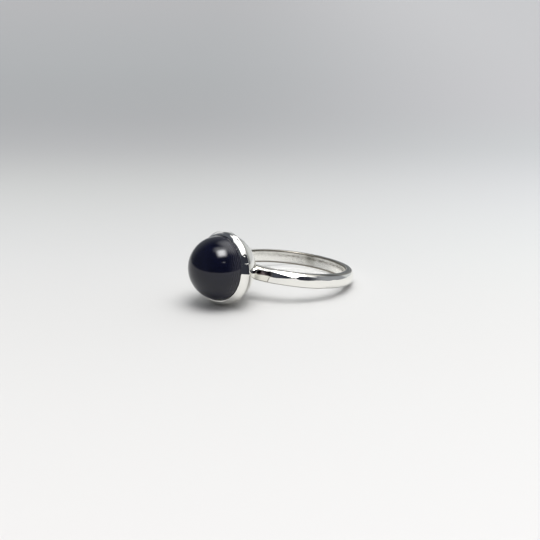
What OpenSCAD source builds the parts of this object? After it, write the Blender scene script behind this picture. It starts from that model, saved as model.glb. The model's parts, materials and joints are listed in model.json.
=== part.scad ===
// Onyx ring: an onyx ball in a round silver cup, soldered to a narrow hammered band.
// The ring lies on its side and leans on the edge of its collar, on the plane z = 0.
// Millimetres, +Z up, the stone towards -Y, the origin under the middle of the ring.

/* [Finger hole] */
// Diameter of the finger hole
finger_d = 17.3; // [15:0.1:21]

/* [Band] */
// Width of the band, along the finger
band_w = 2.2; // [1.8:0.05:2.8]
// Thickness of the band, from the finger hole to the crown of its outer face
band_t = 1.45; // [1.1:0.05:1.8]
// Height of the dome on the band's outer face
band_dome = 0.5; // [0.3:0.05:0.6]
// Chamfer on the two edges of the finger hole
edge_cut = 0.12; // [0.05:0.01:0.2]

/* [Hammer marks] */
// Number of hammer marks round the band
mark_count = 30; // [16:1:36]
// Depth of the deepest hammer mark
mark_depth = 0.1; // [0.02:0.01:0.15]
// Steepest tilt of a hammer mark towards an edge of the band, in degrees
mark_tilt = 7; // [0:1:10]

/* [Stone] */
// Diameter of the onyx ball
stone_d = 10.1; // [9:0.1:10.6]
// Clearance between the ball and the silver
stone_gap = 0.05; // [0.05:0.01:0.12]

/* [Cup] */
// Outer diameter of the half-round bowl behind the ball
bowl_d = 11.1; // [10.9:0.1:11.4]
// Outer diameter of the collar round the bowl's rim
collar_d = 11.6; // [11.5:0.1:12.2]
// How far the collar reaches behind the widest place of the ball
collar_back = 1; // [0.8:0.05:1.4]
// How far the lip reaches past the widest place of the ball
lip_reach = 0.05; // [0.05:0.05:0.4]
// Radius that rounds the lip outside
lip_round = 0.35; // [0.2:0.05:0.45]
// How deep the bowl is sunk into the crown of the band, where it is soldered
seat_sink = 0.2; // [0.1:0.05:0.3]
// Radius of the solder between the bowl and the band
solder_r = 1.4; // [1:0.1:2]
// How far the cup stands off the middle of the band's width
cup_shift = 0.5; // [-0.5:0.05:0.5]

/* [Hidden] */
$fn = 96;

SILVER = [0.90, 0.90, 0.89];
ONYX = [0.05, 0.05, 0.07];

// Band: radii from the axis of the finger hole
hole_r = finger_d / 2;
crown_r = hole_r + band_t;
side_r = crown_r - band_dome;
half_w = band_w / 2;
// The domed face is an arc through both side edges and the crown
dome_r = (half_w * half_w + band_dome * band_dome) / (2 * band_dome);
dome_centre = crown_r - dome_r;

// Stone: distances along its own axis, from the axis of the finger hole
stone_r = stone_d / 2;
bowl_r = bowl_d / 2;
centre_at = crown_r + bowl_r - seat_sink;

// Cup: the same distances, and radii from the stone's axis
collar_r = collar_d / 2;
seat_r = stone_r + stone_gap;
lip_at = centre_at + lip_reach;
collar_at = centre_at - collar_back;
lip_centre = collar_r - lip_round;

// Lean: the collar's back edge and the band's far lower edge both touch the floor
lean = atan((collar_r - cup_shift - half_w) / (collar_at + side_r));
hole_z = half_w * cos(lean) + side_r * sin(lean);
front_y = cup_shift * sin(lean) - centre_at * cos(lean) - stone_r;
rear_y = dome_centre * cos(lean) + dome_r;
hole_y = -(front_y + rear_y) / 2;

// Hammer marks: the stretch of the band that the cup leaves bare, in degrees from the stone
bare_from = 14;
bare_step = (360 - 2 * bare_from) / (mark_count - 1);
block = 6;

// Solder: as wide as the band less this much on each side, and up into the bowl
solder_inset = 0.05;
solder_rise = 0.3;

// Uneven but repeatable value from -1 to 1 for the hammer mark with number i
function uneven(i, pace) = sin(i * pace + 40 * sin(i * 97));

// Puts a child that is drawn round the hole's axis into the ring's resting place
module at_rest() {
    translate([0, hole_y, hole_z]) rotate([-lean, 0, 0]) children();
}

// Turns a child that is drawn along +Z to point from the finger hole to the stone
module towards_stone() {
    translate([0, 0, cup_shift]) rotate([90, 0, 0]) children();
}

// Section of the band: a flat inner face, two flat sides and a domed outer face
module band_section() {
    intersection() {
        polygon([
            [hole_r, edge_cut - half_w],
            [hole_r + edge_cut, -half_w],
            [crown_r, -half_w],
            [crown_r, half_w],
            [hole_r + edge_cut, half_w],
            [hole_r, half_w - edge_cut],
        ]);
        translate([dome_centre, 0]) circle(r = dome_r);
    }
}

// One hammer mark: a block whose flat face cuts the crown of the band
module hammer_mark(i) {
    turn = bare_from + i * bare_step + 0.2 * bare_step * uneven(i, 61) - 90;
    depth = mark_depth * (0.65 + 0.35 * uneven(i, 143));
    rotate([0, 0, turn])
        translate([crown_r - depth, 0, 0])
            rotate([0, mark_tilt * uneven(i, 211), 0])
                translate([0, -block / 2, -block / 2]) cube(block);
}

module band() {
    difference() {
        rotate_extrude() band_section();
        for (i = [0 : mark_count - 1]) hammer_mark(i);
    }
}

// Section of the collar, round the stone's axis, with its lip rounded outside
module collar_section() {
    translate([seat_r / 2, collar_at])
        square([collar_r - seat_r / 2, lip_at - lip_round - collar_at]);
    translate([seat_r / 2, collar_at])
        square([lip_centre - seat_r / 2, lip_at - collar_at]);
    translate([lip_centre, lip_at - lip_round]) circle(r = lip_round);
}

// Bowl: the half of a ball that lies behind the widest place of the stone
module bowl() {
    intersection() {
        translate([0, 0, centre_at]) sphere(r = bowl_r);
        translate([0, 0, centre_at - 2 * bowl_r]) cylinder(r = 2 * bowl_r, h = 2 * bowl_r);
    }
}

// Solder: fills the crevice between the band's crown and the bowl
module solder() {
    intersection() {
        rotate([90, 0, 0]) translate([0, 0, side_r])
            cylinder(r = solder_r, h = band_dome + solder_rise);
        translate([-solder_r, -2 * crown_r, solder_inset - half_w])
            cube([2 * solder_r, 2 * crown_r, band_w - 2 * solder_inset]);
    }
}

// Hollow that the ball sits in
module seat() {
    translate([0, 0, centre_at]) sphere(r = seat_r);
}

module silver_ring() {
    color(SILVER) at_rest() difference() {
        union() {
            band();
            solder();
            towards_stone() bowl();
            towards_stone() rotate_extrude() collar_section();
        }
        towards_stone() seat();
    }
}

module onyx_stone() {
    color(ONYX) at_rest() towards_stone()
        translate([0, 0, centre_at]) sphere(r = stone_r);
}

silver_ring();
onyx_stone();
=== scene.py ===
# %% [markdown]
# # Onyx ring
# The ring is a silver band with a black onyx ball. The ball sits in a half-round silver cup, and the
# cup is soldered to the outside of the band. The ring lies on its side on a pale floor.
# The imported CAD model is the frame. It says where the finger hole and the ball are. Each new surface is
# worked out from those places, in metres, so that it lies where the CAD model has it.

import json

import bpy
import numpy as np
from mathutils import Matrix, Vector


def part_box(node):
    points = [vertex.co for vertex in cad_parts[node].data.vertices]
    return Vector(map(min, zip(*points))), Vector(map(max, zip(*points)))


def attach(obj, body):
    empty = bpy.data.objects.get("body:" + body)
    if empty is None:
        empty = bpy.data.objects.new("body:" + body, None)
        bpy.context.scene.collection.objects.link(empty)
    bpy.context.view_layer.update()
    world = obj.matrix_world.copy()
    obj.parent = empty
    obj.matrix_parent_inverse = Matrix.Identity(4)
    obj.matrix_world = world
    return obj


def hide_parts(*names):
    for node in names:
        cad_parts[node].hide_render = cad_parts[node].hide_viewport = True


MM = 0.001

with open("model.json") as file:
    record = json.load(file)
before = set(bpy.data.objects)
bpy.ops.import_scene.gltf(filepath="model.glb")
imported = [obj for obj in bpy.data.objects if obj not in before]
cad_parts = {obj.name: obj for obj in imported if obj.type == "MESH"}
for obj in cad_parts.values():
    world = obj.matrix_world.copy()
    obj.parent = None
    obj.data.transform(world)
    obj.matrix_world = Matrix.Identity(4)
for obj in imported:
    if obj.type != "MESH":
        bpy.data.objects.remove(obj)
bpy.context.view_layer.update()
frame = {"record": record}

# %% [markdown]
# ## Directions of the ring
# A ring is easiest to describe round its finger hole. Three directions do it: `across` runs along the
# hole, `ahead` points from the hole to the ball, and `side` is square to both. They could be typed in,
# but read from the frame they follow the CAD model when it changes. The record gives the hole as a
# bore, and the ball's box gives its centre and radius.

# %% Finger hole, ball and directions
hole = next(m for m in frame["record"]["mounts"] if m["name"] == "finger_hole")
hole_centre = np.array(hole["pos_m"])
across = np.array(hole["axis"]) / np.linalg.norm(hole["axis"])
hole_r = hole["dims"]["r_mm"] * MM

ball_low, ball_high = (np.array(corner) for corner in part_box("onyx_stone"))
ball_centre = (ball_low + ball_high) / 2
ball_r = (ball_high[2] - ball_low[2]) / 2

to_ball = ball_centre - hole_centre
cup_shift = float(to_ball @ across)
ahead = to_ball - cup_shift * across
ball_at = float(np.linalg.norm(ahead))
ahead /= ball_at
side = np.cross(across, ahead)
print("ball of radius", ball_r, "at", ball_at, "ahead and", cup_shift, "across")


def ring_points(s, a, c):
    """World points that are s to the side, a ahead and c across, from the middle of the hole."""
    s, a, c = np.broadcast_arrays(s, a, c)
    return hole_centre + s[..., None] * side + a[..., None] * ahead + c[..., None] * across


# %% [markdown]
# ## From a grid of points to a mesh
# Blender's Spin tool and its curves make round shapes too, but here each surface is a formula, so that
# every hammer mark and every stroke of a tool has its own exact place. A surface is a grid of points:
# one direction runs along a profile, the other goes round. The faces follow from the row and column
# numbers alone, so one function makes them for every piece. Where a profile ends on the axis, a fan of
# triangles joins its last row to one point, the pole, and closes the surface.


# %% Grid faces and mesh making
def grid_faces(rows, columns, close_rows):
    """Quads between rows i, i + 1 and columns j, j + 1. The last column joins the first one, and the
    last row joins the first one as well if close_rows is true."""
    i = np.arange(rows if close_rows else rows - 1)[:, None]
    j = np.arange(columns)[None, :]
    up, on = (i + 1) % rows, (j + 1) % columns
    corners = [i * columns + j, i * columns + on, up * columns + on, up * columns + j]
    return np.stack(np.broadcast_arrays(*corners), axis=-1).reshape(-1, 4)


def closed_revolve_faces(rows, columns):
    """Faces of a grid whose first and last rows are next to a pole. The two poles are the last points."""
    ring = np.arange(columns)
    first, last = rows * columns, rows * columns + 1
    low = np.stack([np.roll(ring, -1), ring, np.full(columns, first)], axis=-1)
    high = ring + (rows - 1) * columns
    high = np.stack([high, np.roll(high, -1), np.full(columns, last)], axis=-1)
    return grid_faces(rows, columns, False), [low, high]


def make_piece(name, points, quads, fans=(), **values):
    """A smooth mesh object at the origin. Each value is a number per point, kept as an attribute."""
    mesh = bpy.data.meshes.new(name)
    faces = quads.tolist() + [face for fan in fans for face in fan.tolist()]
    mesh.from_pydata(points.reshape(-1, 3), [], faces)
    mesh.shade_smooth()
    for key, numbers in values.items():
        attribute = mesh.attributes.new(key, "FLOAT", "POINT")
        attribute.data.foreach_set("value", np.ravel(numbers).astype(np.float32))
    piece = bpy.data.objects.new(name, mesh)
    bpy.context.scene.collection.objects.link(piece)
    print(name, "has", len(mesh.vertices), "points and", len(faces), "faces")
    return piece


def arc(centre, radius, first, last, steps):
    """Points centre + radius * (cos, sin) for angles from first to last, in degrees."""
    angle = np.radians(np.linspace(first, last, steps))
    return np.array(centre) + radius * np.stack([np.cos(angle), np.sin(angle)], axis=-1)


def straight(start, end, steps):
    """Points between start and end, without the two ends."""
    t = np.linspace(0, 1, steps + 2)[1:-1, None]
    return np.array(start) * (1 - t) + np.array(end) * t


# %% [markdown]
# ## Soft changes
# On handmade work one shape passes softly into the next. Blender's shape keys or a falloff brush do
# that by hand. In a formula it takes three small functions: a smooth step between two values, the same
# step up and down again, and a bell over one angle.


# %% Smooth step, stretch and bell
def smooth_step(value, first, last):
    """0 up to first, 1 from last on, and 3 t^2 - 2 t^3 between them."""
    t = np.clip((value - first) / (last - first), 0, 1)
    return t * t * (3 - 2 * t)


def from_to(value, starts, ends):
    """1 on a stretch and 0 off it: one smooth step over starts, less another one over ends."""
    return smooth_step(value, *starts) - smooth_step(value, *ends)


def bump(value, middle, spread):
    """A bell over the middle: exp(-((value - middle) / spread)^2), for angles in degrees."""
    gap = (value - middle + 180) % 360 - 180
    return np.exp(-((gap / spread) ** 2))


# %% [markdown]
# ## Section of the band
# The band is a strip that is flat inside and domed outside. A silversmith breaks every edge with a
# file and a polishing wheel, so each corner of the section is a small arc. A Bevel modifier rounds
# corners too, but arcs in the section keep the grid regular, row by row. The outer face is a row of
# places across the band, and its height over the finger hole comes later, from the hammer.

# %% Section of the band
BAND_W = 2.2 * MM
BAND_DOME = 0.5 * MM
INNER_ROUND = 0.13 * MM
OUTER_ROUND = 0.12 * MM
POLISHED_OFF = 0.01 * MM
FACE_STEPS, OUTER_ROUND_STEPS = 52, 8
INSIDE_STEPS, INNER_ROUND_STEPS = 20, 6

crown_r = float(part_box("silver_ring")[1][0]) - POLISHED_OFF
half_w = BAND_W / 2
dome_r = (half_w**2 + BAND_DOME**2) / (2 * BAND_DOME)
dome_centre = crown_r - dome_r
edge_c = half_w - OUTER_ROUND
edge_turn = np.linspace(0, np.pi / 2, OUTER_ROUND_STEPS + 1)[1:]
rounded_c = edge_c + OUTER_ROUND * np.sin(edge_turn)
face_c = np.linspace(-edge_c, edge_c, FACE_STEPS)
outer_c = np.concatenate([-rounded_c[::-1], face_c, rounded_c])[:, None]
inner_c = half_w - INNER_ROUND
inner_r = hole_r + INNER_ROUND
inner_face = np.concatenate(
    [
        arc((inner_r, inner_c), INNER_ROUND, 90, 180, INNER_ROUND_STEPS),
        straight((hole_r, inner_c), (hole_r, -inner_c), INSIDE_STEPS),
        arc((inner_r, -inner_c), INNER_ROUND, 180, 270, INNER_ROUND_STEPS),
    ]
)
print("outer face of", len(outer_c), "places, dome radius in mm", round(dome_r / MM, 3))


def dome(c):
    """Radius of the smooth outer face: the dome's centre + sqrt(dome_r^2 - c^2)."""
    return dome_centre + np.sqrt(dome_r**2 - c**2)


def rounding(c):
    """How much the polished edge falls below the outer face: a quarter circle, r - sqrt(r^2 - d^2)."""
    past = np.clip(np.abs(c) - edge_c, 0, OUTER_ROUND)
    return OUTER_ROUND - np.sqrt(OUTER_ROUND**2 - past**2)


# %% [markdown]
# ## Hammer marks
# The outside of the band is lightly hammered. A hammer with a polished face leaves a shallow flat, and
# polishing melts its border into the dome. Sculpting or Boolean cuts would give such flats as well, but
# here a mark is three numbers, its place, tilt and depth, and easy to change. Each mark is a plane. The
# surface follows the lowest one of the dome and the planes, with a soft minimum: the logarithm of
# summed exponentials, which rounds the line where two faces meet.

# %% Hammer marks
MARK_SOFT = 0.01 * MM
MARK_TILT = 9.0
MARK_STEP = 11.0
MARK_STRAY = 0.3
MARK_LEAST, MARK_MOST = 0.015, 0.05
MARK_SEED = 11
BARE_FROM = 14.0
# A mark counts up to 60 degrees away, where the cosine is 0.5
FACING_LEAST = 0.5

rng = np.random.default_rng(MARK_SEED)
mark_turn = np.arange(BARE_FROM, 360 - BARE_FROM, MARK_STEP)
mark_turn = mark_turn + MARK_STEP * rng.uniform(-MARK_STRAY, MARK_STRAY, len(mark_turn))
mark_tilt = rng.uniform(-MARK_TILT, MARK_TILT, len(mark_turn))
mark_depth = rng.uniform(MARK_LEAST, MARK_MOST, len(mark_turn)) * MM
print(len(mark_turn), "hammer marks, the deepest", round(mark_depth.max() / MM, 3), "mm")


def soft_least(layers, soft):
    """-soft * log(sum(exp(-layer / soft))), worked out from the least layer so that nothing overflows."""
    least = layers.min(axis=0)
    return least - soft * np.log(np.exp((least - layers) / soft).sum(axis=0))


def hammered(turn, c):
    """Radius of the outer face after hammering. A plane tilted by t that would touch the dome is
    dome_centre * cos(t) + dome_r away from the hole's axis, and the mark's depth is taken off. A plane
    at distance d has the radius (d - c * sin(t)) / (cos(t) * cos(turn - its own turn))."""
    layers = [np.broadcast_to(dome(c), np.broadcast_shapes(c.shape, turn.shape))]
    for own, tilt, depth in zip(np.radians(mark_turn), np.radians(mark_tilt), mark_depth):
        facing = np.cos(turn - own)
        away = dome_centre * np.cos(tilt) + dome_r - depth
        plane = (away - c * np.sin(tilt)) / (np.cos(tilt) * np.maximum(facing, FACING_LEAST))
        layers.append(np.where(facing > FACING_LEAST, plane, 10 * crown_r))
    return soft_least(np.stack(layers), MARK_SOFT)


# %% [markdown]
# Beside the cup, where the smith worked the joint over with a file, the band has three long faces
# instead: a steep upper one, a middle one as slender as a willow leaf, and a lower one that lies
# flatter close to the cup. Their borders wander across the band, nearly touch, and open to a second,
# shorter leaf. Loop cuts could be dragged to such borders by hand. A table of places is easier to
# correct, and straight lines between the borders keep the faces crisp, as a file leaves them.

# %% Long faces beside the cup
UPPER_TILT, MIDDLE_TILT = 36.0, 9.0
LOWER_TILT, LOWER_TILT_AT_CUP = -12.0, -4.0
FLATTER_FROM, FLATTER_TO = 40.0, 24.0
MARKS_FROM, MARKS_TO = 70.0, 84.0
FACES_SOFT = 0.012 * MM
# Angle from the ball, then where the middle face begins and ends across the band, in mm
leaf = np.array(
    [
        (0, 0.6, -0.16), (14.6, 0.63, -0.16), (21, 0.7, -0.02), (27, 0.74, -0.05), (32.6, 0.68, -0.1),
        (40, 0.58, 0.04), (44, 0.5, 0.12), (47.5, 0.42, 0.24), (50.5, 0.4, 0.26), (52.5, 0.6, 0.16),
        (54.3, 0.73, 0.1), (61.6, 0.74, 0.11), (66, 0.72, 0.16), (69, 0.7, 0.22), (90, 0.7, 0.1),
    ]
)
print("leaf given at", len(leaf), "angles, narrowest", round((leaf[:, 1] - leaf[:, 2]).min(), 2), "mm")


def leaf_borders(degrees):
    """Where the middle face begins and ends across the band, on straight lines through the table."""
    return [np.interp(degrees, leaf[:, 0], leaf[:, k]) * MM for k in (1, 2)]


def long_faces(turn, c):
    """Radius of the three faces: each is a straight line across the band, radius = start - tan(tilt) *
    (c - its border), and the lowest line counts, with a soft minimum."""
    begins, ends = leaf_borders(np.degrees(turn))
    steep, middle = np.tan(np.radians([UPPER_TILT, MIDDLE_TILT]))
    at_cup = smooth_step(np.degrees(turn), FLATTER_FROM, FLATTER_TO)
    low = np.tan(np.radians(LOWER_TILT * (1 - at_cup) + LOWER_TILT_AT_CUP * at_cup))
    lines = [
        crown_r - middle * (c - ends),
        crown_r - middle * (begins - ends) - steep * (c - begins),
        crown_r - low * (c - ends),
    ]
    return soft_least(np.stack(np.broadcast_arrays(*lines)), FACES_SOFT)


def outer_face(turn, c):
    """The long faces near the cup and the hammered dome past them, mixed between two angles."""
    share = smooth_step(np.degrees(turn), MARKS_FROM, MARKS_TO)
    return long_faces(turn, c) * (1 - share) + hammered(turn, c) * share


# %% [markdown]
# ## The band
# A real band is a strip bent round a mandrel until its ends meet. Here its section is carried round the
# finger hole, and the angle `turn` starts at the ball. A curve with a bevel profile would sweep it too,
# but with one and the same section all the way. In a grid each column has a section of its own. The
# flat sides join the rounded edge of the outer face to the rounded edge of the hole.

# %% Surface of the band
BAND_AROUND = 900
SIDE_STEPS = 4

turn = np.linspace(0, 2 * np.pi, BAND_AROUND, endpoint=False)[None, :]
turn_degrees = np.degrees(turn)
outer_r = outer_face(turn, outer_c) - rounding(outer_c)
outer_part = np.stack(np.broadcast_arrays(outer_r, outer_c), axis=-1)
inner_part = np.broadcast_to(inner_face[:, None, :], (len(inner_face), BAND_AROUND, 2))
blend = np.linspace(0, 1, SIDE_STEPS + 2)[1:-1, None, None]
upper_side = outer_part[-1] * (1 - blend) + inner_part[0] * blend
lower_side = inner_part[-1] * (1 - blend) + outer_part[0] * blend
section = np.concatenate([outer_part, upper_side, inner_part, lower_side])
band_r, band_c = section[..., 0], section[..., 1]
band_points = ring_points(band_r * np.sin(turn), band_r * np.cos(turn), band_c)
print("band grid of", len(section), "by", BAND_AROUND, "points")

# %% [markdown]
# Silver darkens where nothing rubs it, and on this ring that shows as blotches inside the band. The
# thin dark lines along the edges of the band are painted dark reflections, of the shade and the dim
# room that its rounded edges mirror. The start of the leaf beside the joint is drawn darker still, a
# painted dark reflection as well. Such marks could be painted on an image. Here they follow the
# section, so each is worked out as one number from 0 to 1 for each point of the mesh, an attribute,
# which the silver's material reads. The attribute `satin` marks the inner face, which is only sanded.

# %% Wear and painted dark lines of the band
# A painted dark line fades in between two distances from the band's edge
INNER_LINE = (0.38 * MM, 0.22 * MM)
OUTER_LINE = (0.18 * MM, 0.09 * MM)
# The painted dark line on the upper side runs beside the hole and is twice as wide at one place
RIM_WIDTH, RIM_SOFT = 0.6 * MM, 0.12 * MM
RIM_WIDEST, RIM_SPREAD = 70.0, 45.0
LINE_STRENGTH = 0.85
# Softness and angles of the painted dark reflection in the leaf
LEAF_SHADE_SOFT = 0.03 * MM
LEAF_SHADE_STARTS, LEAF_SHADE_ENDS = (12.0, 15.0), (25.0, 33.0)
STAIN_AT, STAIN_SPREAD = 0.35 * MM, 0.28 * MM
STAIN_FAINT, STAIN_GROWS = 0.35, (264.0, 232.0)
STAIN_TURN = np.radians(14)


def near_edges(first, last):
    """0 at the distance first from either edge of the band, and 1 at the distance last."""
    return smooth_step(np.abs(band_c), half_w - first, half_w - last)


outside = np.arange(len(section))[:, None] < len(outer_c)
inside = np.clip((inner_r - band_r) / (INNER_ROUND / 4), 0, 1)
rim_width = RIM_WIDTH * (1 + bump(turn_degrees, RIM_WIDEST, RIM_SPREAD))
rim_line = smooth_step(band_r - hole_r - rim_width, RIM_SOFT, -RIM_SOFT) * (band_c > inner_c) * ~outside
# Painted dark reflections: lines along the band's edges and beside the hole
lines = np.maximum(rim_line, outside * near_edges(*OUTER_LINE))
band_patina = np.maximum(inside * near_edges(*INNER_LINE), LINE_STRENGTH * lines)

# Painted dark reflection on the start of the leaf beside the joint
leaf_top, leaf_bottom = leaf_borders(turn_degrees)
bottom_edge = (leaf_bottom - LEAF_SHADE_SOFT, leaf_bottom + LEAF_SHADE_SOFT)
top_edge = (leaf_top - LEAF_SHADE_SOFT, leaf_top + LEAF_SHADE_SOFT)
oxide = outside * from_to(band_c, bottom_edge, top_edge)
oxide = oxide * from_to(turn_degrees, LEAF_SHADE_STARTS, LEAF_SHADE_ENDS)

stain = inside * np.exp(-(((band_c - STAIN_AT) / STAIN_SPREAD) ** 2))
stain = stain * (STAIN_FAINT + (1 - STAIN_FAINT) * smooth_step(turn_degrees, *STAIN_GROWS))

band = make_piece(
    "hammered_band",
    band_points,
    grid_faces(len(section), BAND_AROUND, True),
    satin=inside,
    patina=band_patina,
    stain=stain,
    oxide=oxide,
    along_mm=np.broadcast_to((turn - STAIN_TURN) * hole_r / MM, band_c.shape),
    across_mm=band_c / MM,
)


# %% [markdown]
# ## The cup
# The ball sits in half a shell of its own shape. Round the rim runs a collar, a strip of silver that is
# rubbed over the stone with a burnisher. The whole cup is one profile turned round the ball's axis: out
# from the back pole along the bowl, round the collar, and back inside to the pole. A Screw modifier
# turns a profile too, but always the same one, and this collar changes on its way round. So three
# curves are drawn for it: full like a bead, pressed towards the stone, and almost straight like a cone.

# %% Profiles of the cup
BOWL_R = 5.55 * MM
COLLAR_R = 5.8 * MM
COLLAR_BACK = 1.0 * MM
LIP_REACH = 0.05 * MM
LIP_R = 5.13 * MM
SEAT_GAP = 0.05 * MM
BACK_ROUND = 0.1 * MM
COLLAR_STEPS, BACK_STEPS = 30, 6
# Tilt towards the stone at the collar's back edge and at its lip, in degrees
FULL, PRESSED, CONE = (-2, 86), (18, 62), (29, 37)

seat_r = ball_r + SEAT_GAP


def slope_curve(first_tilt, last_tilt):
    """From the collar's back edge to its lip: a quadratic Bezier curve, (1 - t)^2 A + 2 t (1 - t) B +
    t^2 C, whose middle point B is where the lines of the two end tilts meet."""
    start, end = np.array([COLLAR_R, BACK_ROUND - COLLAR_BACK]), np.array([LIP_R, LIP_REACH])
    tilts = np.radians([first_tilt, last_tilt])
    along = np.stack([-np.sin(tilts), np.cos(tilts)])
    reach = np.linalg.solve(along, end - start)
    middle = start + reach[0] * along[:, 0]
    t = np.linspace(0, 1, COLLAR_STEPS)[:, None]
    return (1 - t) ** 2 * start + 2 * t * (1 - t) * middle + t**2 * end


back_edge = arc((COLLAR_R - BACK_ROUND, BACK_ROUND - COLLAR_BACK), BACK_ROUND, -90, -5, BACK_STEPS)
full, pressed, cone = (
    np.concatenate([back_edge, slope_curve(*tilts)])[:, None, :] for tilts in (FULL, PRESSED, CONE)
)
print("each collar curve has", len(full), "points, the seat's radius is", round(seat_r / MM, 3), "mm")

# %% [markdown]
# The angle `spin` starts at the ring's right side and passes the top. The collar is a cone on the
# right, a bead from the top over the left to the bottom, and pressed in between. On the right it is
# also a little wider low down and a little narrower high up, and at the bottom its lip reaches further
# over the ball. One stroke of the burnisher on the right left a raised flat, whose two ends stand up as
# small steps. All this could be sculpted, but as angles each place can be measured and moved.

# %% Collar
CUP_AROUND = 720
FULL_STARTS, FULL_ENDS = (63, 73), (285, 310)
CONE_STARTS, CONE_ENDS = (-16, -4), (22, 34)
WIDER_AT, NARROWER_AT, WIDTH_SPREAD, WIDTH_CHANGE = -20, 52, 30, 0.18
LONG_LIP, LONG_LIP_AT, LONG_LIP_SPREAD = 0.72 * MM, -98, 26
# The flat of the stroke, the angle at which it touches the collar, and its first step
STROKE_FROM, STROKE_TO, STROKE_AT = 2.0, 19.0, 14.5
STROKE_STARTS = (1.4, 2.4)

spin = np.linspace(0, 2 * np.pi, CUP_AROUND, endpoint=False)[None, :]
degrees = np.degrees(spin)
turned = (degrees + 180) % 360 - 180
fullness = from_to(degrees, FULL_STARTS, FULL_ENDS)[..., None]
coned = from_to(turned, CONE_STARTS, CONE_ENDS)[..., None]
collar = pressed * (1 - coned) + cone * coned
collar = collar * (1 - fullness) + full * fullness

# The stroke is a flat at one distance from the ball's axis, so its radius grows as 1 / cos(angle)
off_stroke = np.radians(np.clip(turned, STROKE_FROM, STROKE_TO) - STROKE_AT)
on_stroke = smooth_step(turned, *STROKE_STARTS) * (turned <= STROKE_TO)
collar_radius = collar[..., 0] * (1 + (1 / np.cos(off_stroke) - 1) * on_stroke)

width = 1 + WIDTH_CHANGE * (bump(degrees, WIDER_AT, WIDTH_SPREAD) - bump(degrees, NARROWER_AT, WIDTH_SPREAD))
reach = LONG_LIP * bump(degrees, LONG_LIP_AT, LONG_LIP_SPREAD)
towards_lip = smooth_step(collar[..., 1], -COLLAR_BACK, LIP_REACH)
collar_along = collar[..., 1] * width + reach * towards_lip
print("collar reaches", round(float(collar_radius.max()) / MM, 2), "mm from the ball's axis")

# %% [markdown]
# The bowl and the seat are arcs, and the lip is a short flat between the collar and the seat. All four
# parts are put together as rows of radius and distance along the axis, and turned. No wheel reaches the
# crease behind the collar, so tarnish stays there, and the crease is also darkened with painted shade,
# where the bowl lies in shadow and mirrors the collar's dark back. It is strongest in the crease and
# fades away on both sides of it, further on the bowl than on the collar.

# %% Cup
BOWL_STEPS, SEAT_STEPS, LIP_STEPS = 70, 24, 2
CREASE_TARNISH_AND_SHADE = 0.8
FADE_ON_BOWL, FADE_ON_COLLAR = 0.8 * MM, 0.3 * MM

bowl_share = np.linspace(0, 1, BOWL_STEPS)[1:, None]
bowl_end = -np.arcsin(COLLAR_BACK * width / BOWL_R)
bowl_angle = -np.pi / 2 * (1 - bowl_share) + bowl_end * bowl_share
lip_start = np.degrees(np.arcsin(LIP_REACH / seat_r))
seat = arc((0, 0), seat_r, lip_start, -90, SEAT_STEPS)[:-1, None, :]
lip = straight((LIP_R, LIP_REACH), (seat_r, LIP_REACH), LIP_STEPS)[:, None, :]
lip_along = np.broadcast_to(lip[..., 1] + reach, (len(lip), CUP_AROUND))
lip_radius = np.broadcast_to(lip[..., 0], lip_along.shape)
seat_radius, seat_along = (np.broadcast_to(seat[..., k], (len(seat), CUP_AROUND)) for k in (0, 1))
cup_radius = np.concatenate([BOWL_R * np.cos(bowl_angle), collar_radius, lip_radius, seat_radius])
cup_along = np.concatenate([BOWL_R * np.sin(bowl_angle), collar_along, lip_along, seat_along])


def cup_points(radius, along, angle):
    """Points round the ball's axis: radius from it, and along it from the ball's centre."""
    return ring_points(radius * np.cos(angle), ball_at + along, cup_shift + radius * np.sin(angle))


cup_wall = cup_points(cup_radius, cup_along, spin).reshape(-1, 3)
cup_poles = cup_points(np.zeros(2), np.array([-BOWL_R, -seat_r]), np.zeros(2))
cup_quads, cup_fans = closed_revolve_faces(len(cup_radius), CUP_AROUND)
# Tarnish and painted shade in the crease behind the collar, fading on both sides
crease = np.hypot(cup_radius - BOWL_R * np.cos(bowl_end), cup_along + COLLAR_BACK * width)
fade = np.where(cup_along < -COLLAR_BACK * width, FADE_ON_BOWL, FADE_ON_COLLAR)
cup_patina = CREASE_TARNISH_AND_SHADE * np.exp(-((crease / fade) ** 2))
cup = make_piece(
    "stone_cup",
    np.concatenate([cup_wall, cup_poles]),
    cup_quads,
    cup_fans,
    patina=np.append(cup_patina, [0, 0]),
)

# %% [markdown]
# ## Solder between cup and band
# Melted solder creeps into the crevice between the bowl and the band and freezes in a hollow curve. A
# Boolean union with a bevel on its edge gives such a fillet too, but leaves uneven faces. Here its
# border on the band is an oval, and its border on the bowl is a rounder one. Between them runs a curve
# with three control points. The middle one lies in the crevice, halfway between band and bowl, so the
# surface sags inwards.

# %% Solder
# Half the length and half the width of each oval, and its shift across the band
ON_BAND = (1.5 * MM, 0.68 * MM, 0.38 * MM)
IN_CREVICE = (0.936 * MM, 0.5576 * MM, 0.38 * MM)
ON_BOWL = (1.3 * MM, 0.975 * MM, 0.3 * cup_shift)
SINK = 0.06 * MM
SOLDER_AROUND, SOLDER_STEPS = 180, 14


def oval(half_long, half_wide, shift):
    """Places (half_long * cos(angle), half_wide * sin(angle) + shift) round the joint."""
    angle = np.linspace(0, 2 * np.pi, SOLDER_AROUND, endpoint=False)[None, :]
    return half_long * np.cos(angle), half_wide * np.sin(angle) + shift


def band_height(s, c):
    """How far ahead of the hole's axis the dome is, s to the side and c across: sqrt(dome^2 - s^2)."""
    return np.sqrt(dome(c) ** 2 - s**2)


def bowl_height(s, c):
    """How far ahead of the hole's axis the bowl's back is: its centre - sqrt(R^2 - s^2 - c^2)."""
    return ball_at - np.sqrt(BOWL_R**2 - s**2 - (c - cup_shift) ** 2)


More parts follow.
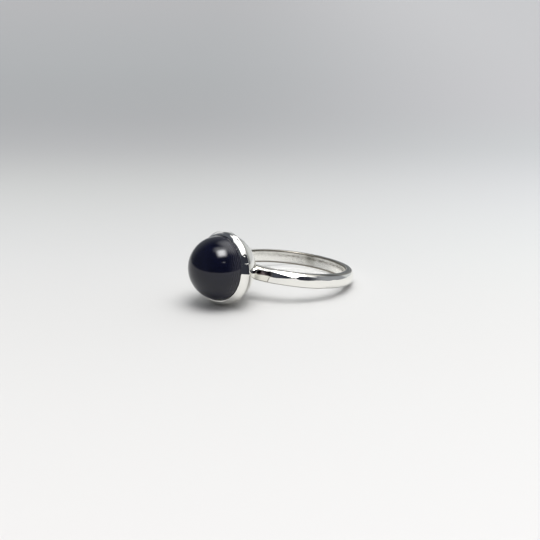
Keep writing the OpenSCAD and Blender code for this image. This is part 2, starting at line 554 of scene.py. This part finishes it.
low_s, low_c = oval(*ON_BAND)
mid_s, mid_c = oval(*IN_CREVICE)
high_s, high_c = oval(*ON_BOWL)
low_a = band_height(low_s, low_c) - SINK
mid_a = (band_height(mid_s, mid_c) + bowl_height(mid_s, mid_c)) / 2
high_a = bowl_height(high_s, high_c) + SINK
t = np.linspace(0, 1, SOLDER_STEPS)[:, None]
weights = ((1 - t) ** 2, 2 * t * (1 - t), t**2)
solder_s, solder_a, solder_c = (
    sum(weight * part for weight, part in zip(weights, parts))
    for parts in ((low_s, mid_s, high_s), (low_a, mid_a, high_a), (low_c, mid_c, high_c))
)
solder_wall = ring_points(solder_s, solder_a, solder_c).reshape(-1, 3)
pole_a = np.array([crown_r - 4 * SINK, ball_at - BOWL_R + 2 * SINK])
solder_poles = ring_points(np.zeros(2), pole_a, np.zeros(2))
solder_quads, solder_fans = closed_revolve_faces(SOLDER_STEPS, SOLDER_AROUND)
solder_points = np.concatenate([solder_wall, solder_poles])
solder = make_piece("solder_joint", solder_points, solder_quads, solder_fans)

# %% [markdown]
# ## The onyx ball
# The stone is cut as a whole ball and polished. Blender's UV sphere is the quick way to it. This one is
# a half circle turned round the same axis as the cup, so that its rows of faces run parallel to the
# cup's rim. The rows are close together, so its outline stays round in a close view.

# %% Onyx ball
BALL_ROWS = 162

half_circle = arc((0, 0), ball_r, -90, 90, BALL_ROWS)[1:-1]
ball_spin = spin[:, ::2]
ball_wall = cup_points(half_circle[:, :1], half_circle[:, 1:], ball_spin).reshape(-1, 3)
ball_poles = cup_points(np.zeros(2), np.array([-ball_r, ball_r]), np.zeros(2))
ball_quads, ball_fans = closed_revolve_faces(len(half_circle), ball_spin.shape[1])
ball = make_piece("onyx_ball", np.concatenate([ball_wall, ball_poles]), ball_quads, ball_fans)

# %% [markdown]
# ## The pieces join the frame
# Each silver piece stands for the CAD's silver ring, and the ball stands for the CAD's stone. All of
# them ride on the one body, the root. A closed mesh whose faces point outwards has a positive volume,
# so the volume is printed as a test of each surface.

# %% Ride and replace
for piece in (band, cup, solder):
    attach(piece, "root")
    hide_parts("silver_ring")
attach(ball, "root")
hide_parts("onyx_stone")


def signed_volume(piece):
    """Sum of a . (b x c) / 6 over the triangles: positive where faces point outwards."""
    mesh = piece.data
    mesh.calc_loop_triangles()
    corners = np.zeros(len(mesh.loop_triangles) * 3, np.int32)
    mesh.loop_triangles.foreach_get("vertices", corners)
    places = np.zeros(len(mesh.vertices) * 3)
    mesh.vertices.foreach_get("co", places)
    a, b, c = np.moveaxis(places.reshape(-1, 3)[corners.reshape(-1, 3)], 1, 0)
    return float((a * np.cross(b, c)).sum() / 6)


for piece in (band, cup, solder, ball):
    print(piece.name, "volume in cubic mm:", round(signed_volume(piece) / MM**3, 1))

# %% [markdown]
# ## Colours and nodes
# Colours are written as sRGB hex, as a colour picker shows them, and one function turns them to the
# linear values that the shader needs. A material can be wired by hand in the Shader Editor. Here one
# more function adds a node, with its settings and links, so that each line reads as one step.


# %% Colour and node helpers
def linear(code):
    """Linear RGBA of an sRGB hex: v / 12.92 below 0.04045, else ((v + 0.055) / 1.055) ** 2.4."""
    v = np.array([int(code[k : k + 2], 16) for k in (1, 3, 5)]) / 255
    v = np.where(v <= 0.04045, v / 12.92, ((v + 0.055) / 1.055) ** 2.4)
    return (*v.tolist(), 1.0)


def add_node(tree, kind, settings=None, inputs=None):
    """Adds a node. Settings are its own properties, and inputs are values or sockets to link."""
    node = tree.nodes.new(kind)
    for key, value in (settings or {}).items():
        setattr(node, key, value)
    for key, value in (inputs or {}).items():
        if isinstance(value, bpy.types.NodeSocket):
            tree.links.new(value, node.inputs[key])
        else:
            node.inputs[key].default_value = value
    return node


def new_material(name):
    """An empty material, its node tree, and the object coordinates in millimetres."""
    material = bpy.data.materials.new(name)
    material.use_nodes = True
    tree = material.node_tree
    tree.nodes.clear()
    place = add_node(tree, "ShaderNodeTexCoord")
    in_mm = add_node(tree, "ShaderNodeVectorMath", {"operation": "SCALE"}, {0: place.outputs["Object"]})
    in_mm.inputs["Scale"].default_value = 1 / MM
    return material, tree, in_mm.outputs[0]


# %% [markdown]
# ## Sterling silver
# Sterling is 92.5 % silver, with copper. A buffing wheel leaves it like a mirror with a very slight
# warmth, and it darkens to a brownish grey. One flat metal colour would look like chrome, so the wear
# of the band, the painted dark lines along its edges and in its leaf, and the tarnish and painted shade
# in the crease behind the collar come in through the attributes, and noise breaks the stain inside the
# band into blotches that are longer along the band than across it.

# %% Silver: colour, tarnish and painted shade
# The second colour darkens the stain, and also makes the painted dark lines and the painted shade in the
# crease. The third is the painted dark reflection in the leaf
SILVER, TARNISH_AND_SHADE, PAINTED_LEAF_SHADE = "#F8F7F2", "#858178", "#6B6164"
STAIN_MM = 0.6
STAIN_STRETCH = 2.5

silver, tree, silver_mm = new_material("sterling_silver_polished")
satin_at, patina_at, stain_at, oxide_at, along_at, across_at = (
    add_node(tree, "ShaderNodeAttribute", {"attribute_name": name}).outputs["Fac"]
    for name in ("satin", "patina", "stain", "oxide", "along_mm", "across_mm")
)
narrow = add_node(tree, "ShaderNodeMath", {"operation": "MULTIPLY"}, {0: across_at, 1: STAIN_STRETCH})
unrolled = add_node(tree, "ShaderNodeCombineXYZ", None, {"X": along_at, "Y": narrow.outputs[0]})
blotch = add_node(
    tree,
    "ShaderNodeTexNoise",
    None,
    {"Vector": unrolled.outputs[0], "Scale": 1 / STAIN_MM, "Detail": 5.0, "Roughness": 0.65},
)
blotch = add_node(
    tree,
    "ShaderNodeMapRange",
    None,
    {"Value": blotch.outputs["Fac"], "From Min": 0.4, "From Max": 0.62, "To Min": 0.3, "To Max": 1.0},
)
stained = add_node(tree, "ShaderNodeMath", {"operation": "MULTIPLY"}, {0: stain_at, 1: blotch.outputs[0]})
# The darker of the stain and of the tarnish with painted shade and dark lines
dark = add_node(tree, "ShaderNodeMath", {"operation": "MAXIMUM"}, {0: stained.outputs[0], 1: patina_at})
tarnished_and_shaded = add_node(
    tree,
    "ShaderNodeMix",
    {"data_type": "RGBA"},
    {"Factor": dark.outputs[0], 6: linear(SILVER), 7: linear(TARNISH_AND_SHADE)},
)
silver_colour = add_node(
    tree,
    "ShaderNodeMix",
    {"data_type": "RGBA"},
    {"Factor": oxide_at, 6: tarnished_and_shaded.outputs[2], 7: linear(PAINTED_LEAF_SHADE)},
)
print("silver's colour:", len(tree.nodes), "nodes, blotches of", STAIN_MM, "mm")

# %% [markdown]
# The rest of the look is in roughness and in a tiny relief. The hammer leaves waves about 1.3 mm long
# that are too shallow to see as shapes but bend what the silver mirrors. The buffing wheel leaves
# smears that are a little duller. The inner face is only sanded, so it is rougher and has a grain.
# Modelled as geometry these would take millions of points, so they are noise in a Bump node.

# %% Silver: polish and relief
DENT_MM, DENT_DEEP = 1.3, 0.012 * MM
SMEAR_MM = 0.7
# Fine sandpaper leaves scratches some 0.03 mm apart, too fine to show, so they are drawn coarser
SANDING_MM, SANDING_DEEP = 0.22, 0.02 * MM
SANDING_OUTSIDE, SANDING_INSIDE = 0.03, 0.4
ROUGH_BEST, ROUGH_SMEARED, ROUGH_SANDED = 0.04, 0.1, 0.2

dents, smear, grain = (
    add_node(tree, "ShaderNodeTexNoise", None, {"Vector": silver_mm, "Scale": 1 / size, "Detail": detail})
    for size, detail in ((DENT_MM, 1.0), (SMEAR_MM, 4.0), (SANDING_MM, 3.0))
)
polish = add_node(
    tree,
    "ShaderNodeMapRange",
    None,
    {
        "Value": smear.outputs["Fac"],
        "From Min": 0.3,
        "From Max": 0.7,
        "To Min": ROUGH_BEST,
        "To Max": ROUGH_SMEARED,
    },
)
rough = add_node(
    tree, "ShaderNodeMapRange", None, {"Value": satin_at, "To Min": polish.outputs[0], "To Max": ROUGH_SANDED}
)
planished = add_node(
    tree, "ShaderNodeBump", None, {"Strength": 1.0, "Distance": DENT_DEEP, "Height": dents.outputs["Fac"]}
)
sanding = add_node(
    tree, "ShaderNodeMapRange", None, {"Value": satin_at, "To Min": SANDING_OUTSIDE, "To Max": SANDING_INSIDE}
)
relief = add_node(
    tree,
    "ShaderNodeBump",
    None,
    {
        "Strength": sanding.outputs[0],
        "Distance": SANDING_DEEP,
        "Height": grain.outputs["Fac"],
        "Normal": planished.outputs[0],
    },
)
surface = add_node(
    tree,
    "ShaderNodeBsdfPrincipled",
    None,
    {
        "Metallic": 1.0,
        "Base Color": silver_colour.outputs[2],
        "Roughness": rough.outputs[0],
        "Normal": relief.outputs[0],
    },
)
add_node(tree, "ShaderNodeOutputMaterial", None, {"Surface": surface.outputs[0]})
for piece in (band, cup, solder):
    piece.data.materials.append(silver)
print("silver:", len(tree.nodes), "nodes")

# %% [markdown]
# ## Black onyx
# Onyx is chalcedony, a very fine quartz, dyed black with a trace of blue. It takes a glassy polish and
# mirrors only about one twentieth of the light, so the pale floor shows in it as dark grey. Plain black
# would look like plastic. Soft clouds in the dye keep it a stone. Faint grey bands near the rim are a
# painted reflection of the silver collar, which the ball mirrors there as rings. The bands follow the
# distance along the ball's axis and show only near the rim.

# %% Onyx: clouds and painted reflection of the collar
DYE_DEEP, DYE_PALE, RIM_REFLECTION = "#070916", "#0D0F24", "#3C3A40"
CLOUD_MM = 1.1
# Spacing in mm of the bands of painted reflection of the collar
REFLECTION_BAND_MM = 0.34
REFLECTION_START, REFLECTION_FULL = 2.4, 0.3
REFLECTION_BEND = 0.5

onyx, tree, onyx_mm = new_material("black_onyx_polished")
clouds = add_node(
    tree,
    "ShaderNodeTexNoise",
    None,
    {"Vector": onyx_mm, "Scale": 1 / CLOUD_MM, "Detail": 2.0, "Distortion": 0.6},
)
dyed = add_node(
    tree,
    "ShaderNodeMix",
    {"data_type": "RGBA"},
    {"Factor": clouds.outputs["Fac"], 6: linear(DYE_DEEP), 7: linear(DYE_PALE)},
)
along = add_node(tree, "ShaderNodeVectorMath", {"operation": "DOT_PRODUCT"}, {0: onyx_mm, 1: ahead})
along = along.outputs["Value"]
rim_mm = float(ball_centre @ ahead) / MM
near_rim = add_node(
    tree,
    "ShaderNodeMapRange",
    {"interpolation_type": "SMOOTHSTEP"},
    {"Value": along, "From Min": rim_mm + REFLECTION_START, "From Max": rim_mm + REFLECTION_FULL},
)
bent = add_node(
    tree, "ShaderNodeMath", {"operation": "MULTIPLY_ADD"}, {0: clouds.outputs["Fac"], 1: REFLECTION_BEND, 2: along}
)
wave = add_node(
    tree, "ShaderNodeMath", {"operation": "MULTIPLY"}, {0: bent.outputs[0], 1: 2 * np.pi / REFLECTION_BAND_MM}
)
wave = add_node(tree, "ShaderNodeMath", {"operation": "SINE"}, {0: wave.outputs[0]})
# Grey bands of painted reflection of the collar, near the rim
layers = add_node(
    tree,
    "ShaderNodeMapRange",
    None,
    {"Value": wave.outputs[0], "From Min": -0.4, "From Max": 1.0, "To Min": 0.0, "To Max": 0.55},
)
layers = add_node(
    tree, "ShaderNodeMath", {"operation": "MULTIPLY"}, {0: layers.outputs[0], 1: near_rim.outputs[0]}
)
print("onyx bands every", REFLECTION_BAND_MM, "mm, up to", REFLECTION_START, "mm from the rim")

# %% [markdown]
# Quartz has an index of refraction of 1.54 and would be polished to a roughness of about 0.05. With
# these, the ball mirrors the soft boxes brighter and sharper than in the picture, so the index is
# matched to 1.49 and the roughness to 0.11. Both are the same all over, so they are set on the shader.

# %% Onyx: surface
ONYX_ROUGH, ONYX_INDEX = 0.11, 1.49

onyx_colour = add_node(
    tree,
    "ShaderNodeMix",
    {"data_type": "RGBA"},
    {"Factor": layers.outputs[0], 6: dyed.outputs[2], 7: linear(RIM_REFLECTION)},
)
surface = add_node(
    tree,
    "ShaderNodeBsdfPrincipled",
    None,
    {"Base Color": onyx_colour.outputs[2], "Roughness": ONYX_ROUGH, "IOR": ONYX_INDEX},
)
add_node(tree, "ShaderNodeOutputMaterial", None, {"Surface": surface.outputs[0]})
ball.data.materials.append(onyx)
print("onyx:", len(tree.nodes), "nodes")

# %% [markdown]
# ## Camera
# The picture is taken from the ball's right, 18 degrees above the floor, with an upright camera and a
# portrait lens of 80 mm. A camera can be aimed with a Track To constraint, but three directions as the
# columns of a matrix place it exactly. The frame is square, 540 pixels a side. The hole's middle is
# imaged a little right of the frame's centre, so the camera stands slightly beside the line to it.

# %% Camera
FRAME_PX = 540
LENS_MM = 80.0
SENSOR_MM = 36.0
CAMERA_TURN = np.radians(49.2)
CAMERA_RISE = np.radians(17.83)
CAMERA_AWAY = 197.2 * MM
HOLE_PX = np.array([292.66, 267.79])

px_focal = LENS_MM / SENSOR_MM * FRAME_PX
right = np.array([np.cos(CAMERA_TURN), np.sin(CAMERA_TURN), 0])
facing = np.array([np.sin(CAMERA_TURN), -np.cos(CAMERA_TURN), 0])
above = np.array([0, 0, 1])
back = facing * np.cos(CAMERA_RISE) + above * np.sin(CAMERA_RISE)
up = above * np.cos(CAMERA_RISE) - facing * np.sin(CAMERA_RISE)
shift_x, shift_y = (HOLE_PX - FRAME_PX / 2) * CAMERA_AWAY / px_focal
camera_place = hole_centre - shift_x * right + shift_y * up + CAMERA_AWAY * back
camera_axes = Matrix(np.stack([right, up, back], axis=-1)).to_4x4()

camera = bpy.data.objects.new("camera", bpy.data.cameras.new("camera"))
camera.data.lens = LENS_MM
camera.data.sensor_width = SENSOR_MM
camera.data.clip_start = 1 * MM
camera.matrix_world = Matrix.Translation(camera_place) @ camera_axes
bpy.context.scene.collection.objects.link(camera)
bpy.context.scene.camera = camera
print("camera at", camera_place.round(4), "m")

# %% [markdown]
# ## Floor
# The ring lies on a sheet of white card. Towards the back the light on the card falls off to a soft
# grey, and more on the left than on the right, so the bright silver stands clear of it. This falloff is
# painted shade in the card's colour. Light alone could make the grade, but in the card's colour each
# shade gets its exact distance. It is a ramp along the distance behind the ring, a dot product with the
# level direction off the camera.

# %% Floor: card with painted falloff of light
FLOOR_HALF = 2.5
GRADE_FROM, GRADE_TO = -100.0, 500.0
RIGHT_FROM, RIGHT_TO = -35.0, 105.0
# Distance behind the ring in mm, and the painted shade of the falling light there
PAINTED_FALLOFF_LEFT = {
    -85: "#E1DFDD", -45: "#DCDBD9", -10: "#D6D5D3", 25: "#CFCFCE", 70: "#BEBFBD",
    110: "#A6A6A7", 160: "#9D9E9F", 260: "#A1A3A4", 450: "#AAAAAB",
}
PAINTED_FALLOFF_RIGHT = {
    -85: "#E7E6E5", -45: "#E4E3E1", -10: "#E1E0DE", 25: "#DDDFDD", 70: "#D0D0D2",
    110: "#BEC1C1", 160: "#BBBABC", 260: "#B8B8B9", 450: "#BBBBBC",
}

floor_mesh = bpy.data.meshes.new("studio_floor")
floor_corners = FLOOR_HALF * np.array([[-1, -1, 0], [1, -1, 0], [1, 1, 0], [-1, 1, 0]])
floor_mesh.from_pydata(floor_corners, [], [[0, 1, 2, 3]])
floor = bpy.data.objects.new("studio_floor", floor_mesh)
bpy.context.scene.collection.objects.link(floor)

card, tree, card_mm = new_material("matt_white_card")
behind = add_node(tree, "ShaderNodeVectorMath", {"operation": "DOT_PRODUCT"}, {0: card_mm, 1: -facing})
grade = add_node(
    tree,
    "ShaderNodeMapRange",
    None,
    {"Value": behind.outputs["Value"], "From Min": GRADE_FROM, "From Max": GRADE_TO},
)


def painted_falloff_ramp(shades):
    """A ramp through the painted shades of the falling light, each at its distance in mm behind the ring."""
    ramp = add_node(tree, "ShaderNodeValToRGB", None, {"Fac": grade.outputs[0]})
    ramp.color_ramp.interpolation = "B_SPLINE"
    places = [(distance - GRADE_FROM) / (GRADE_TO - GRADE_FROM) for distance in shades]
    for place in places[1:-1]:
        ramp.color_ramp.elements.new(place)
    for stop, place, shade in zip(ramp.color_ramp.elements, places, shades.values()):
        stop.position = place
        stop.color = linear(shade)
    return ramp.outputs["Color"]


beside = add_node(tree, "ShaderNodeVectorMath", {"operation": "DOT_PRODUCT"}, {0: card_mm, 1: right})
to_right = add_node(
    tree,
    "ShaderNodeMapRange",
    {"interpolation_type": "SMOOTHSTEP"},
    {"Value": beside.outputs["Value"], "From Min": RIGHT_FROM, "From Max": RIGHT_TO},
)
# Painted shade of the falling light: the left ramp is darker than the right one
card_colour = add_node(
    tree,
    "ShaderNodeMix",
    {"data_type": "RGBA"},
    {"Factor": to_right.outputs[0], 6: painted_falloff_ramp(PAINTED_FALLOFF_LEFT), 7: painted_falloff_ramp(PAINTED_FALLOFF_RIGHT)},
)
print("card graded over", GRADE_TO - GRADE_FROM, "mm in", len(PAINTED_FALLOFF_LEFT), "shades a side")

# %% [markdown]
# The polished inside of the band throws light on the card behind the hole, where its own shadow falls.
# Such light, a caustic, takes a render very many samples. So the card glows a little there instead: in
# a ring round the hole's middle, and only on the far side of it.

# %% Floor: thrown light
# Distances in mm from the hole's middle, and behind it, over which the glow comes and goes
GLOW_STARTS, GLOW_ENDS, GLOW_BEHIND = (7.9, 8.9), (10.6, 9.6), (4.5, 7.5)
GLOW = 0.52
CARD_ROUGH, CARD_GLOSS = 0.9, 0.2

from_hole = add_node(
    tree, "ShaderNodeVectorMath", {"operation": "SUBTRACT"}, {0: card_mm, 1: hole_centre / MM}
)
from_hole = add_node(
    tree, "ShaderNodeVectorMath", {"operation": "MULTIPLY"}, {0: from_hole.outputs[0], 1: (1, 1, 0)}
)
radius = add_node(tree, "ShaderNodeVectorMath", {"operation": "LENGTH"}, {0: from_hole.outputs[0]})
past_hole = add_node(
    tree, "ShaderNodeVectorMath", {"operation": "DOT_PRODUCT"}, {0: from_hole.outputs[0], 1: -facing}
)
borders = ((radius, GLOW_STARTS), (radius, GLOW_ENDS), (past_hole, GLOW_BEHIND))
ring_starts, ring_ends, far_side = (
    add_node(
        tree,
        "ShaderNodeMapRange",
        {"interpolation_type": "SMOOTHSTEP"},
        {"Value": measured.outputs["Value"], "From Min": first, "From Max": last},
    ).outputs[0]
    for measured, (first, last) in borders
)
thrown = add_node(tree, "ShaderNodeMath", {"operation": "MULTIPLY"}, {0: ring_starts, 1: ring_ends})
thrown = add_node(tree, "ShaderNodeMath", {"operation": "MULTIPLY"}, {0: thrown.outputs[0], 1: far_side})
thrown = add_node(tree, "ShaderNodeMath", {"operation": "MULTIPLY"}, {0: thrown.outputs[0], 1: GLOW})
surface = add_node(
    tree,
    "ShaderNodeBsdfPrincipled",
    None,
    {
        "Base Color": card_colour.outputs[2],
        "Roughness": CARD_ROUGH,
        "Specular IOR Level": CARD_GLOSS,
        "Emission Strength": thrown.outputs[0],
    },
)
add_node(tree, "ShaderNodeOutputMaterial", None, {"Surface": surface.outputs[0]})
floor_mesh.materials.append(card)
print("card:", len(tree.nodes), "nodes, glow from", GLOW_STARTS[0], "to", GLOW_ENDS[0], "mm off the hole")

# %% [markdown]
# ## Light
# Polished silver shows the room more than itself, so the room is designed as carefully as the ring.
# Each light is a soft box, an area light that is bright in its middle and dimmer towards its border, as
# the cloth of a real one is. A plain area light has a hard border, and the silver would show it. The
# directions are given as seen from the ring, with an azimuth from the camera's side, positive to the
# right, and so are width and height, because that is how large the box looks in the silver.


# %% Soft boxes
def from_ring(azimuth, elevation):
    """Direction from the ring: azimuth from the camera's side to the right, elevation from the floor."""
    z, e = np.radians(azimuth), np.radians(elevation)
    level = np.sin(z) * right + np.cos(z) * facing
    return np.cos(e) * level + np.sin(e) * above


def soft_box(name, azimuth, elevation, away, wide, tall, radiance, edge):
    """A rectangle that lights the ring. Its width and height are angles seen from the ring, and its
    power is radiance * pi * area. Towards its border, over the share `edge` of its width and height,
    the light fades with a smooth step."""
    data = bpy.data.lights.new(name, "AREA")
    data.shape = "RECTANGLE"
    data.size = 2 * away * np.tan(np.radians(wide / 2))
    data.size_y = 2 * away * np.tan(np.radians(tall / 2))
    data.energy = radiance * np.pi * data.size * data.size_y
    data.use_nodes = True
    tree = data.node_tree
    tree.nodes.clear()
    place = add_node(tree, "ShaderNodeNewGeometry").outputs["Parametric"]
    centred = add_node(tree, "ShaderNodeVectorMath", {"operation": "SUBTRACT"}, {0: place, 1: (0.5, 0.5, 0)})
    off = add_node(tree, "ShaderNodeVectorMath", {"operation": "ABSOLUTE"}, {0: centred.outputs[0]})
    fade = add_node(
        tree,
        "ShaderNodeMapRange",
        {"data_type": "FLOAT_VECTOR", "interpolation_type": "SMOOTHSTEP"},
        {6: off.outputs[0], 7: (0.5 - edge,) * 3, 8: (0.5,) * 3, 9: (1, 1, 1), 10: (0, 0, 0)},
    )
    parts = add_node(tree, "ShaderNodeSeparateXYZ", None, {0: fade.outputs["Vector"]})
    both = add_node(
        tree, "ShaderNodeMath", {"operation": "MULTIPLY"}, {0: parts.outputs["X"], 1: parts.outputs["Y"]}
    )
    glow = add_node(tree, "ShaderNodeEmission", None, {"Strength": both.outputs[0]})
    add_node(tree, "ShaderNodeOutputLight", None, {"Surface": glow.outputs[0]})
    lamp = bpy.data.objects.new(name, data)
    direction = from_ring(azimuth, elevation)
    lamp.location = Vector(direction * away)
    lamp.rotation_euler = Vector(-direction).to_track_quat("-Z", "Y").to_euler()
    bpy.context.scene.collection.objects.link(lamp)
    print(name, "gives", round(data.energy, 2), "W")
    return lamp


# %% [markdown]
# The key box hangs high over the camera's side and makes the white stripe on the collar and the ball's
# highlight. A panel stands high behind the ring on the right, a small box makes the ball's second,
# smaller highlight, and wide dim boxes grade the silver. Each one lights only a part of the picture. A
# photographer does the same with black flags, and with a polarising filter, which takes mirror images
# out of stone but leaves them in metal. In Blender each light is linked to a collection of the objects
# that it shines on.


# %% Boxes with flags
def shine_on(name, objects, boxes):
    """Links the boxes to a collection that holds only the given objects."""
    lit = bpy.data.collections.new(name)
    for thing in objects:
        lit.objects.link(thing)
    for box in boxes:
        box.light_linking.receiver_collection = lit


# Each box: azimuth and elevation, metres away, degrees wide and tall, radiance, share of soft border
shine_on(
    "ring_only",
    (band, cup, solder, ball),
    (
        soft_box("key_box", 17, 70.5, 3.0, 40, 36, 16.5, 0.4),
        soft_box("right_panel", 128, 64, 3.2, 72, 50, 2.2, 0.4),
        soft_box("top_box", 0, 86, 3.2, 50, 30, 2.6, 0.4),
        soft_box("small_box", 17, 36, 3.0, 14, 4, 3.4, 0.3),
    ),
)
shine_on(
    "silver_only",
    (band, cup, solder),
    (
        soft_box("left_box", -46, 69, 3.2, 76, 44, 1.2, 0.12),
        soft_box("halo_box", 18, 64, 3.2, 74, 34, 1.0, 0.2),
        soft_box("dim_panel", -150, 24, 3.2, 90, 30, 0.5, 0.3),
    ),
)
shine_on(
    "card_only",
    (floor,),
    (
        soft_box("overhead_box", 55, 79, 3.2, 58, 58, 5.6, 0.4),
        soft_box("ceiling", 0, 88, 3.2, 130, 130, 0.95, 0.5),
    ),
)

# %% [markdown]
# ## The dim room
# Between the boxes the silver mirrors a dim room. An image of a studio could wrap the scene, but a room
# that is a function of direction alone has no file and can be tuned part by part. Its base is dark with
# a trace of blue. It is a little lighter on the left, grey on the right and behind the ring, and a
# bright panel and a white card stand low behind the ring. A dot product with a direction is 1 where a
# ray points that way, and a smooth step turns it into a soft edge. Rays that go straight from the
# camera see a plain pale wall instead.

# %% Room
world = bpy.data.worlds.new("dim_room")
bpy.context.scene.world = world
world.use_nodes = True
tree = world.node_tree
tree.nodes.clear()
ray = add_node(tree, "ShaderNodeTexCoord").outputs["Generated"]


def room_part(colour_so_far, direction, first, last, shade):
    """The colour so far, mixed to a shade where the ray's dot product with a direction passes from
    first to last."""
    dot = add_node(tree, "ShaderNodeVectorMath", {"operation": "DOT_PRODUCT"}, {0: ray, 1: direction})
    soft = add_node(
        tree,
        "ShaderNodeMapRange",
        {"interpolation_type": "SMOOTHSTEP"},
        {"Value": dot.outputs["Value"], "From Min": first, "From Max": last},
    )
    mix = add_node(
        tree,
        "ShaderNodeMix",
        {"data_type": "RGBA"},
        {"Factor": soft.outputs[0], 6: colour_so_far, 7: linear(shade)},
    )
    return mix.outputs[2]


room = linear("#33353E")
room = room_part(room, -right, 0.2, 0.9, "#5A5E66")
room = room_part(room, right, 0.45, 0.95, "#93969B")
room = room_part(room, -facing, 0.3, 0.85, "#8F9396")
# The bright panel on the far right, then the white card behind the ring
room = room_part(room, from_ring(142, 8), 0.88, 0.97, "#CDD0D1")
room = room_part(room, from_ring(184, 5), 0.9862, 0.9935, "#F0F2F2")
dim = add_node(tree, "ShaderNodeBackground", None, {"Color": room})
pale = add_node(tree, "ShaderNodeBackground", None, {"Color": linear("#C9CCCE")})
path = add_node(tree, "ShaderNodeLightPath")
seen = add_node(
    tree,
    "ShaderNodeMixShader",
    None,
    {0: path.outputs["Is Camera Ray"], 1: dim.outputs[0], 2: pale.outputs[0]},
)
add_node(tree, "ShaderNodeOutputWorld", None, {"Surface": seen.outputs[0]})
bpy.context.scene.view_settings.view_transform = "Standard"
print("room:", len(tree.nodes), "nodes")
